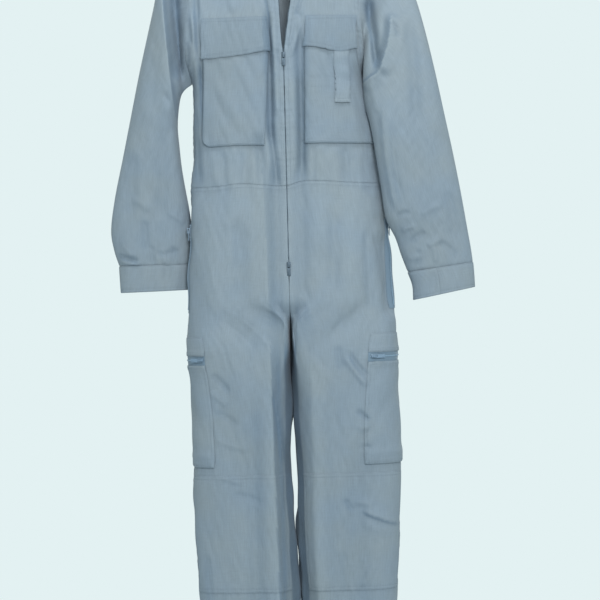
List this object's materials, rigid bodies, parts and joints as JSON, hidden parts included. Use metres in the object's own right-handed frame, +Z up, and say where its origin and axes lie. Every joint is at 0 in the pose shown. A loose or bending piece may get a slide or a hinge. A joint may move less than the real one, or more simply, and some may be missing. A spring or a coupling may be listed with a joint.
{
  "type": "boiler suit on a coat hanger",
  "caption": "Long-sleeved boiler suit with a front zip, flapped chest pockets, thigh pockets and knee patches, hanging empty from a plain coat hanger.",
  "frame": {"origin": "where the rail bears inside the crown of the hanger's hook; the whole suit hangs below it", "axes": "+Z up; the front of the suit faces -Y; the wearer's left side is +X"},
  "size_m": [0.695, 0.168, 1.5997],
  "materials": {
    "cotton_twill": "pale grey-blue polyester and cotton twill",
    "zip_tape": "woven zip tape with a coil chain",
    "zip_metal": "dull nickel-plated zinc",
    "hanger_plastic": "moulded polypropylene",
    "hook_steel": "zinc-plated wire"
  },
  "bodies": {
    "suit": {"back_bodice": "cotton_twill", "chest_pocket_left": "cotton_twill", "chest_pocket_right": "cotton_twill", "collar": "cotton_twill", "cuff_left": "cotton_twill", "cuff_right": "cotton_twill", "flap_left": "cotton_twill", "flap_right": "cotton_twill", "front_bodice_left": "cotton_twill", "front_bodice_right": "cotton_twill", "front_low_slider": "zip_metal", "front_top_slider": "zip_metal", "front_zip_left": "zip_tape", "front_zip_right": "zip_tape", "hanger_bar": "hanger_plastic", "hanger_hook": "hook_steel", "knee_patch_left": "cotton_twill", "knee_patch_right": "cotton_twill", "pen_strap": "cotton_twill", "side_left_slider": "zip_metal", "side_right_slider": "zip_metal", "side_zip_left": "zip_tape", "side_zip_right": "zip_tape", "sleeve_left": "cotton_twill", "sleeve_right": "cotton_twill", "thigh_band_left": "cotton_twill", "thigh_band_right": "cotton_twill", "thigh_left_slider": "zip_metal", "thigh_pocket_left": "cotton_twill", "thigh_pocket_right": "cotton_twill", "thigh_right_slider": "zip_metal", "thigh_zip_left": "zip_tape", "thigh_zip_right": "zip_tape", "trouser_back_left": "cotton_twill", "trouser_back_right": "cotton_twill", "trouser_front_left": "cotton_twill", "trouser_front_right": "cotton_twill"},
    "front_top_tab": {"front_top_pull": "zip_metal"},
    "front_low_tab": {"front_low_pull": "zip_metal"},
    "side_right_tab": {"side_right_pull": "zip_metal"},
    "thigh_right_tab": {"thigh_right_pull": "zip_metal"},
    "side_left_tab": {"side_left_pull": "zip_metal"},
    "thigh_left_tab": {"thigh_left_pull": "zip_metal"}
  },
  "joints": [
    {"name": "front_top_pull_swing", "type": "hinge", "parent": "suit", "child": "front_top_tab", "pos_m": [0, -0.05736, -0.299], "axis": [-1, 0, 0], "range_deg": [0, 165]},
    {"name": "front_low_pull_swing", "type": "hinge", "parent": "suit", "child": "front_low_tab", "pos_m": [0, -0.0778, -0.697], "axis": [-1, 0, 0], "range_deg": [0, 165]},
    {"name": "side_right_pull_swing", "type": "hinge", "parent": "suit", "child": "side_right_tab", "pos_m": [-0.19093, -0.00892, -0.626], "axis": [-0.1187, 0.9929, 0], "range_deg": [0, 165]},
    {"name": "thigh_right_pull_swing", "type": "hinge", "parent": "suit", "child": "thigh_right_tab", "pos_m": [-0.17161, -0.06402, -0.8735], "axis": [0, 0, 1], "range_deg": [0, 165]},
    {"name": "side_left_pull_swing", "type": "hinge", "parent": "suit", "child": "side_left_tab", "pos_m": [0.19401, -0.00902, -0.626], "axis": [-0.123, -0.9924, 0], "range_deg": [0, 28]},
    {"name": "thigh_left_pull_swing", "type": "hinge", "parent": "suit", "child": "thigh_left_tab", "pos_m": [0.15637, -0.07273, -0.8735], "axis": [0, 0, -1], "range_deg": [0, 165]}
  ]
}
